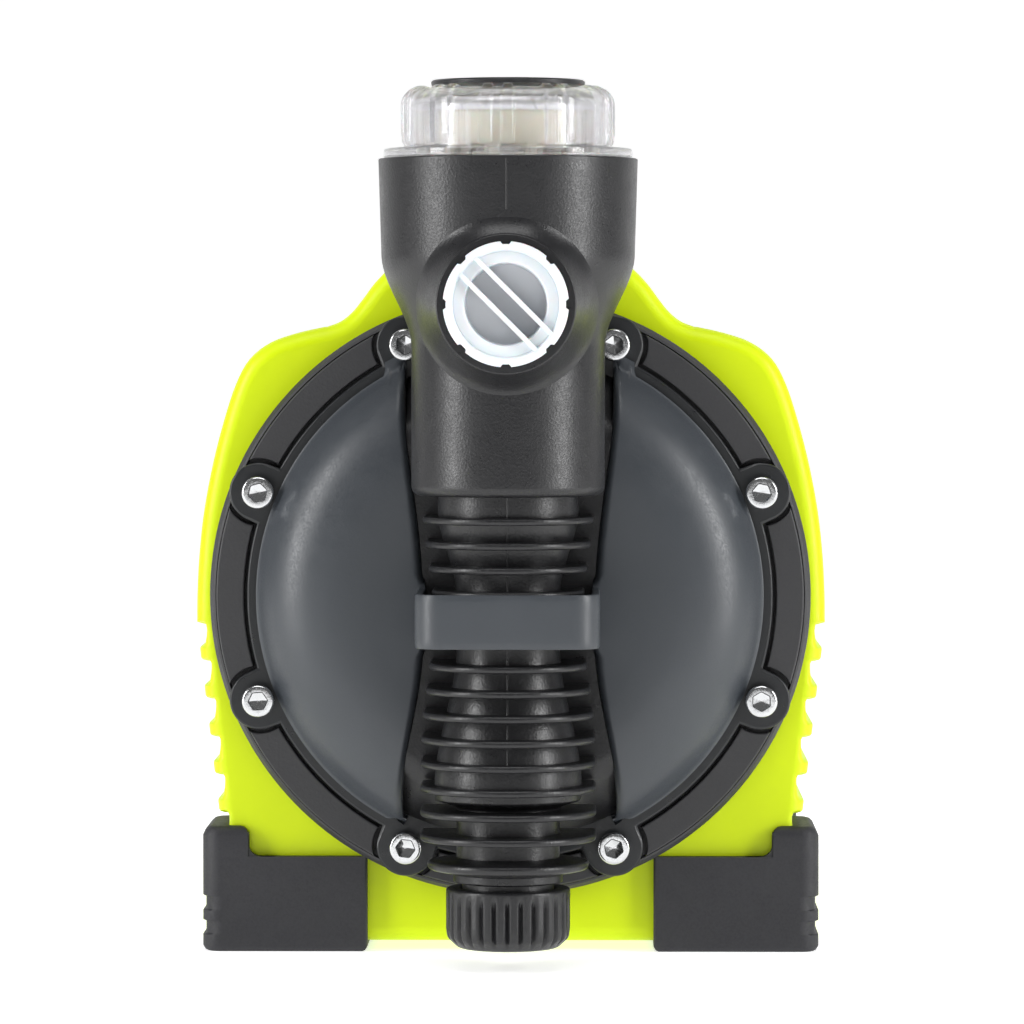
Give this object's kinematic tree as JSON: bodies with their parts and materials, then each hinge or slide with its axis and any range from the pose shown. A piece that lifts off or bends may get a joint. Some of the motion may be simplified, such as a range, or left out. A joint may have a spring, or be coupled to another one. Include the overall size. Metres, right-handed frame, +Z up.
{
  "type": "self-priming garden pump",
  "caption": "Self-priming electric garden and pool pump with a clear-lidded filter tower, ribbed suction column, vented motor housing, carry handle and shoe feet.",
  "frame": {"origin": "middle of the bounding footprint, on the ground the feet stand on", "axes": "+X to the right seen from the inlet end, +Y along the shaft from the inlet to the motor, +Z up"},
  "size_m": [0.198, 0.3698, 0.2713],
  "materials": {
    "black_plastic": "fine-grained satin moulding",
    "grey_plastic": "satin moulding",
    "ring_plastic": "grained moulding",
    "green_plastic": "satin moulding",
    "foot_plastic": "matt moulding",
    "clear_plastic": "polished clear moulding",
    "cream_plastic": "satin moulding",
    "white_plastic": "satin moulding",
    "inner_plastic": "satin moulding",
    "seal_rubber": "matt",
    "seal_ceramic": "lapped",
    "screw_steel": "bright",
    "cast_aluminium": "as cast",
    "core_steel": "stacked laminations",
    "winding_copper": "enamelled wire"
  },
  "bodies": {
    "pump_body": {"front_casing": "black_plastic", "outlet_neck": "black_plastic", "front_cover": "grey_plastic", "rear_casing": "ring_plastic", "housing": "green_plastic", "carry_handle": "green_plastic", "foot_front_left": "foot_plastic", "foot_front_right": "foot_plastic", "foot_rear_left": "foot_plastic", "foot_rear_right": "foot_plastic", "rear_cover": "foot_plastic", "switch_frame": "foot_plastic", "cable_gland": "foot_plastic", "filter_insert": "cream_plastic", "valve_guide": "white_plastic", "capacitor": "white_plastic", "diffuser": "inner_plastic", "capacitor_clip": "inner_plastic", "casing_o_ring": "seal_rubber", "seal_seat": "seal_ceramic", "cover_screw_1": "screw_steel", "cover_screw_2": "screw_steel", "cover_screw_3": "screw_steel", "cover_screw_4": "screw_steel", "cover_screw_5": "screw_steel", "cover_screw_6": "screw_steel", "cover_screw_7": "screw_steel", "cover_screw_8": "screw_steel", "foot_screw_1": "screw_steel", "foot_screw_2": "screw_steel", "foot_screw_3": "screw_steel", "foot_screw_4": "screw_steel", "rear_screw_1": "screw_steel", "rear_screw_2": "screw_steel", "valve_spring": "screw_steel", "front_bearing": "screw_steel", "rear_bearing": "screw_steel", "motor_frame": "cast_aluminium", "front_end_shield": "cast_aluminium", "rear_end_shield": "cast_aluminium", "stator_core": "core_steel", "winding_front": "winding_copper", "winding_rear": "winding_copper"},
    "rotor": {"shaft": "screw_steel", "rotor_core": "core_steel", "impeller": "inner_plastic", "impeller_nut": "screw_steel", "seal_head": "seal_rubber", "motor_fan": "inner_plastic"},
    "lid_ring": {"lid_seal": "seal_rubber"},
    "lid": {"filter_lid": "clear_plastic", "lid_disc": "black_plastic"},
    "inlet_ring": {"inlet_gasket": "seal_rubber"},
    "inlet_closure": {"inlet_plug": "white_plastic"},
    "outlet_ring": {"outlet_gasket": "seal_rubber"},
    "outlet_closure": {"outlet_plug": "white_plastic"},
    "drain_ring": {"drain_seal": "seal_rubber"},
    "drain_closure": {"drain_cap": "black_plastic"},
    "valve": {"valve_poppet": "white_plastic"},
    "rocker": {"switch_rocker": "black_plastic"}
  },
  "joints": [
    {"name": "motor_spin", "type": "hinge", "parent": "pump_body", "child": "rotor", "pos_m": [0, -0.09535, 0.1125], "axis": [0, 1, 0], "continuous": true},
    {"name": "lid_travel", "type": "slide", "parent": "pump_body", "child": "lid_ring", "axis": [0, 0, 1], "range_m": [0, 0.006]},
    {"name": "lid_turn", "type": "hinge", "parent": "lid_ring", "child": "lid", "pos_m": [0, -0.13735, 0.2475], "axis": [0, 0, 1], "range_deg": [0, 540]},
    {"name": "inlet_plug_travel", "type": "slide", "parent": "pump_body", "child": "inlet_ring", "axis": [0, -1, 0], "range_m": [0, 0.00924]},
    {"name": "inlet_plug_turn", "type": "hinge", "parent": "inlet_ring", "child": "inlet_closure", "pos_m": [0, -0.17985, 0.203], "axis": [0, -1, 0], "range_deg": [0, 1440]},
    {"name": "outlet_plug_travel", "type": "slide", "parent": "pump_body", "child": "outlet_ring", "axis": [0, 0, 1], "range_m": [0, 0.00924]},
    {"name": "outlet_plug_turn", "type": "hinge", "parent": "outlet_ring", "child": "outlet_closure", "pos_m": [0, -0.06835, 0.236], "axis": [0, 0, 1], "range_deg": [0, 1440]},
    {"name": "drain_cap_travel", "type": "slide", "parent": "pump_body", "child": "drain_ring", "axis": [0, 0, -1], "range_m": [0, 0.006]},
    {"name": "drain_cap_turn", "type": "hinge", "parent": "drain_ring", "child": "drain_closure", "pos_m": [0, -0.13735, 0.0252], "axis": [0, 0, -1], "range_deg": [0, 720]},
    {"name": "valve_open", "type": "slide", "parent": "pump_body", "child": "valve", "axis": [0, 0, -1], "range_m": [0, 0.007], "stiffness_N_per_m": 60, "springref_m": -0.004, "deforming": ["valve_spring"]},
    {"name": "switch_press", "type": "hinge", "parent": "pump_body", "child": "rocker", "pos_m": [0, 0.16845, 0.16], "axis": [1, 0, 0], "range_deg": [0, 10]}
  ],
  "couplings": [
    {"joint": "lid_travel", "follows": "lid_turn", "m_per_rad": 0.00063662},
    {"joint": "inlet_plug_travel", "follows": "inlet_plug_turn", "m_per_rad": 0.00036749},
    {"joint": "outlet_plug_travel", "follows": "outlet_plug_turn", "m_per_rad": 0.00036749},
    {"joint": "drain_cap_travel", "follows": "drain_cap_turn", "m_per_rad": 0.00047746}
  ]
}
